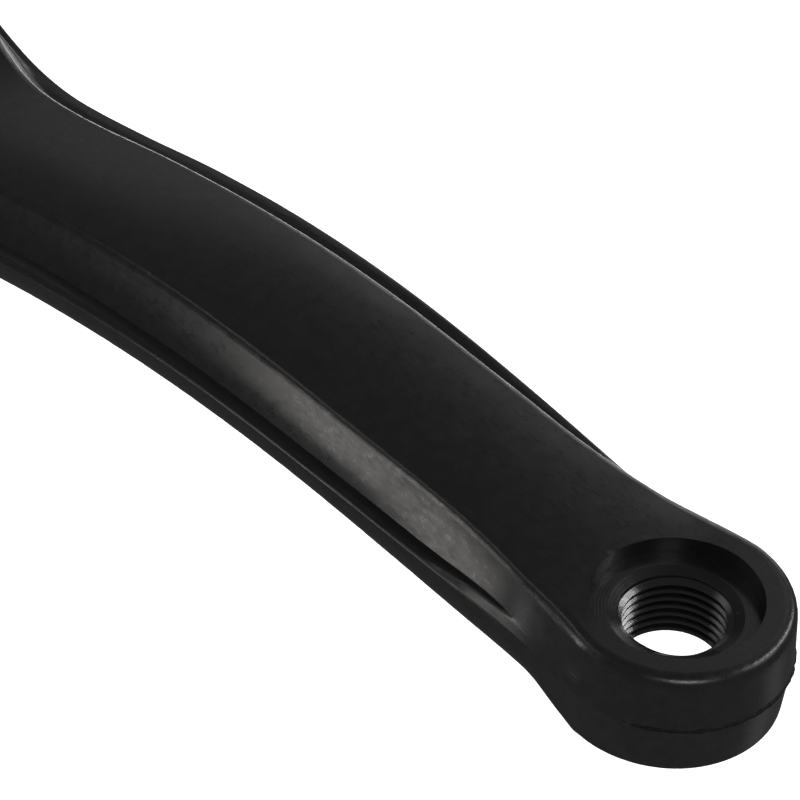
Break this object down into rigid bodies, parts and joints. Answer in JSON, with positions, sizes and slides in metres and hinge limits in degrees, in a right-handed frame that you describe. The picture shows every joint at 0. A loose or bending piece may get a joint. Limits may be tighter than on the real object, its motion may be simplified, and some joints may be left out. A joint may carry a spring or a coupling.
{
  "type": "bicycle crank arm",
  "caption": "Arched left crank arm for a bicycle, satin black, with a fluted outer face, a threaded pedal eye and a boss with a square taper socket for the spindle.",
  "frame": {"origin": "on the spindle axis, at the inner face of the spindle boss", "axes": "+X from the spindle axis to the pedal axis, +Z along the spindle outwards, away from the bicycle, +Y completes a right-handed frame"},
  "size_m": [0.2063, 0.0426, 0.0493],
  "materials": {
    "black_aluminium": "satin black, over a forged and lightly blasted surface"
  },
  "bodies": {
    "root": {"crank_arm": "black_aluminium"}
  },
  "joints": []
}
